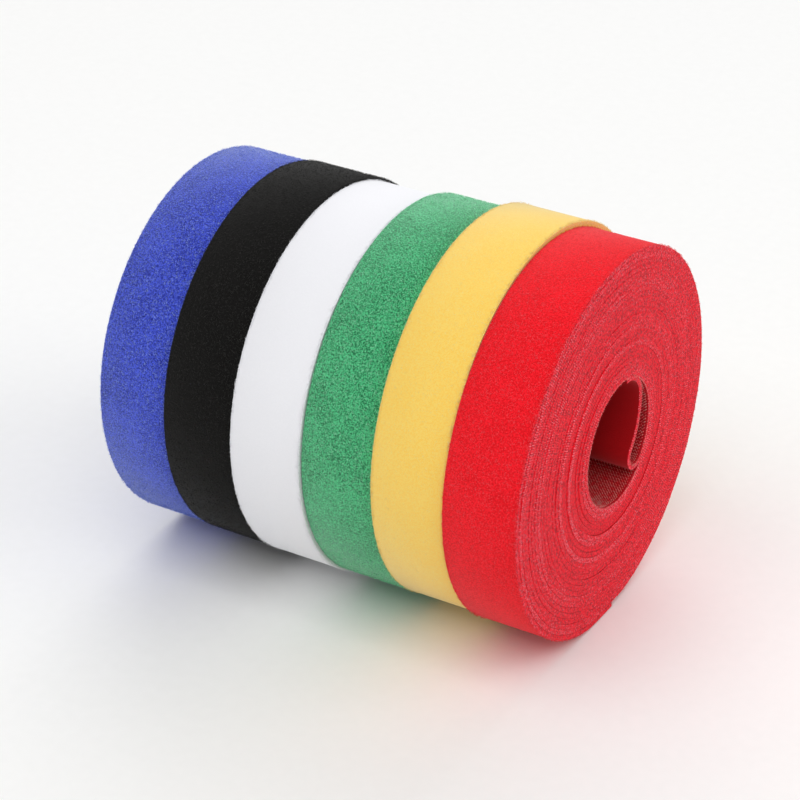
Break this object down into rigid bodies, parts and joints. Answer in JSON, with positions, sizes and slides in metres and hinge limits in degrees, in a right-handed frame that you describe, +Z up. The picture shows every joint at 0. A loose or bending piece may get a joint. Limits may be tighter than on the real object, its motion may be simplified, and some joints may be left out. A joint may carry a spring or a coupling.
{
  "type": "hook and loop tape rolls",
  "caption": "Row of coreless rolls of back-to-back hook and loop tape in different colours, standing on their rims; each roll turns on its own and its tape end peels up.",
  "frame": {"origin": "middle of the footprint, on the surface that the rolls stand on", "axes": "+X along the rolls' common axis towards the red roll, +Z up, -Y towards the side in the picture"},
  "size_m": [0.1216, 0.1042, 0.1011],
  "materials": {
    "blue_loop": "brushed loop pile",
    "blue_hook": "moulded hooks",
    "black_loop": "brushed loop pile",
    "black_hook": "moulded hooks",
    "white_loop": "brushed loop pile",
    "white_hook": "moulded hooks",
    "green_loop": "brushed loop pile",
    "green_hook": "moulded hooks",
    "yellow_loop": "brushed loop pile",
    "yellow_hook": "moulded hooks",
    "red_loop": "brushed loop pile",
    "red_hook": "moulded hooks"
  },
  "bodies": {
    "red_roll": {"red_loop_tape": "red_loop", "red_hook_tape": "red_hook"},
    "red_free_end": {"red_loop_end": "red_loop", "red_hook_end": "red_hook"},
    "yellow_roll": {"yellow_loop_tape": "yellow_loop", "yellow_hook_tape": "yellow_hook", "yellow_inner_turns": "yellow_loop"},
    "yellow_free_end": {"yellow_loop_end": "yellow_loop", "yellow_hook_end": "yellow_hook"},
    "green_roll": {"green_loop_tape": "green_loop", "green_hook_tape": "green_hook", "green_inner_turns": "green_loop"},
    "green_free_end": {"green_loop_end": "green_loop", "green_hook_end": "green_hook"},
    "white_roll": {"white_loop_tape": "white_loop", "white_hook_tape": "white_hook", "white_inner_turns": "white_loop"},
    "white_free_end": {"white_loop_end": "white_loop", "white_hook_end": "white_hook"},
    "black_roll": {"black_loop_tape": "black_loop", "black_hook_tape": "black_hook", "black_inner_turns": "black_loop"},
    "black_free_end": {"black_loop_end": "black_loop", "black_hook_end": "black_hook"},
    "blue_roll": {"blue_loop_tape": "blue_loop", "blue_hook_tape": "blue_hook", "blue_inner_turns": "blue_loop"},
    "blue_free_end": {"blue_loop_end": "blue_loop", "blue_hook_end": "blue_hook"}
  },
  "joints": [
    {"name": "yellow_spin", "type": "hinge", "parent": "red_roll", "child": "yellow_roll", "pos_m": [0.03045, 0.00006, 0.05087], "axis": [1, 0, 0], "continuous": true},
    {"name": "green_spin", "type": "hinge", "parent": "red_roll", "child": "green_roll", "pos_m": [0.01015, -0.00009, 0.04974], "axis": [1, 0, 0], "continuous": true},
    {"name": "white_spin", "type": "hinge", "parent": "red_roll", "child": "white_roll", "pos_m": [-0.01015, -0.00139, 0.04936], "axis": [1, 0, 0], "continuous": true},
    {"name": "black_spin", "type": "hinge", "parent": "red_roll", "child": "black_roll", "pos_m": [-0.03045, -0.00059, 0.04955], "axis": [1, 0, 0], "continuous": true},
    {"name": "blue_spin", "type": "hinge", "parent": "red_roll", "child": "blue_roll", "pos_m": [-0.05075, -0.00009, 0.04908], "axis": [1, 0, 0], "continuous": true},
    {"name": "red_peel", "type": "hinge", "parent": "red_roll", "child": "red_free_end", "pos_m": [0.05075, -0.02633, 0.00598], "axis": [-1, 0, 0], "range_deg": [0, 150]},
    {"name": "yellow_peel", "type": "hinge", "parent": "yellow_roll", "child": "yellow_free_end", "pos_m": [0.03045, 0.05171, 0.04895], "axis": [-1, 0, 0], "range_deg": [0, 150]},
    {"name": "green_peel", "type": "hinge", "parent": "green_roll", "child": "green_free_end", "pos_m": [0.01015, 0.01621, 0.0027], "axis": [-1, 0, 0], "range_deg": [0, 150]},
    {"name": "white_peel", "type": "hinge", "parent": "white_roll", "child": "white_free_end", "pos_m": [-0.01015, 0.04235, 0.02599], "axis": [-1, 0, 0], "range_deg": [0, 150]},
    {"name": "black_peel", "type": "hinge", "parent": "black_roll", "child": "black_free_end", "pos_m": [-0.03045, 0.02594, 0.00701], "axis": [-1, 0, 0], "range_deg": [0, 150]},
    {"name": "blue_peel", "type": "hinge", "parent": "blue_roll", "child": "blue_free_end", "pos_m": [-0.05075, 0.048, 0.03766], "axis": [-1, 0, 0], "range_deg": [0, 150]}
  ]
}
